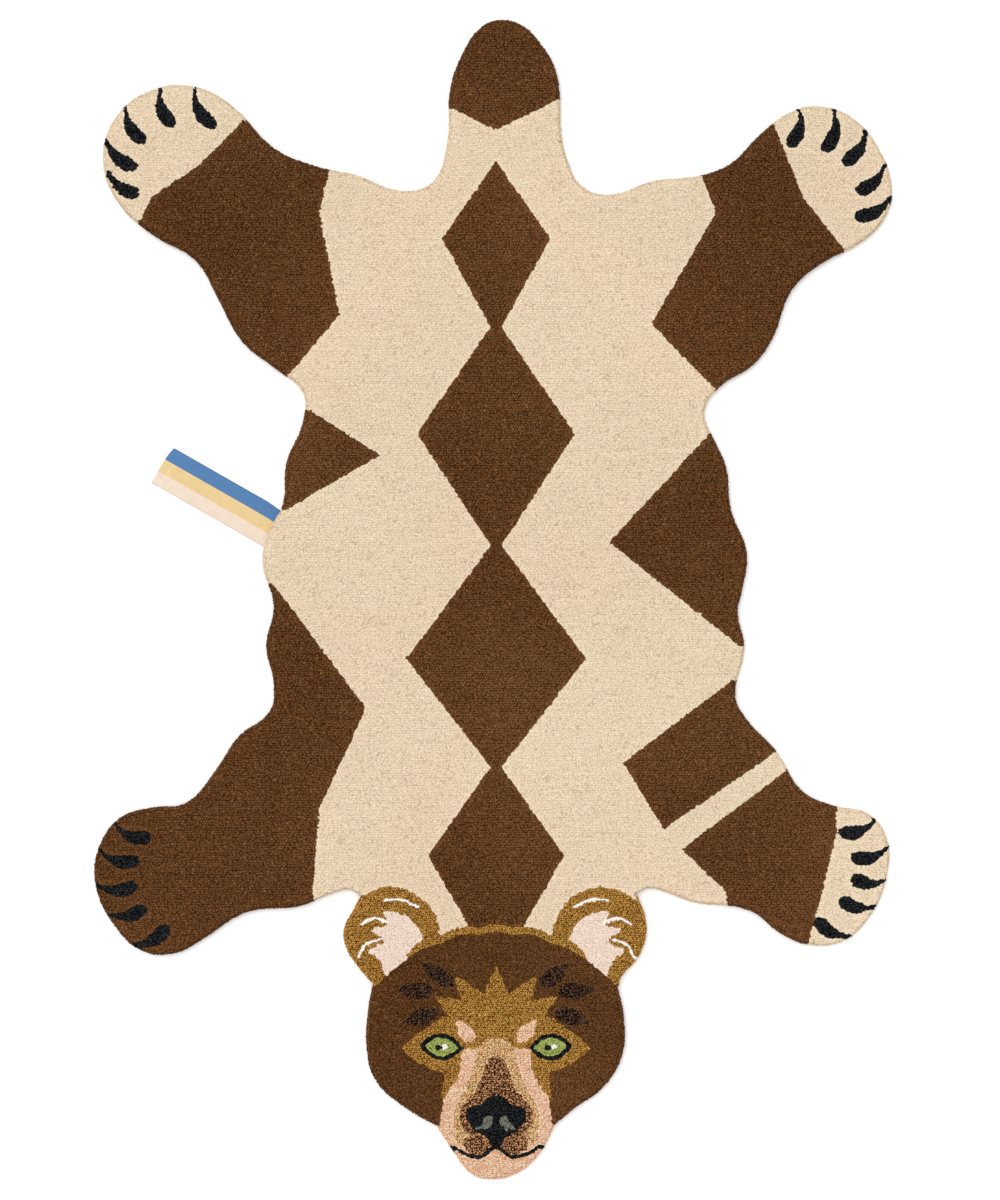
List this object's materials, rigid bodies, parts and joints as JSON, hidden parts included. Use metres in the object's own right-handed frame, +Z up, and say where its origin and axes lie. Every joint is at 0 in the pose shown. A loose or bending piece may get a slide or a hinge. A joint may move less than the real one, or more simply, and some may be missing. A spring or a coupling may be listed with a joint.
{
  "type": "bear shaped kids rug",
  "caption": "Flat tufted wool floor rug cut to the outline of a bear hide with head, ears, paws and tail, and a folded ribbon label sewn under one flank.",
  "frame": {"origin": "middle of the rug's outline, on the surface it lies on", "axes": "+Y from the head to the tail, +X to the right seen from above with the tail up, +Z up through the pile"},
  "size_m": [1.0328, 1.5, 0.015],
  "materials": {
    "wool_pile": "short dense cut wool pile, matt, in cream and brown fields",
    "ribbon": "smooth woven ribbon with a slight sheen, in plain lengthwise bands"
  },
  "bodies": {
    "root": {"rug": "wool_pile", "label": "ribbon"}
  },
  "joints": []
}
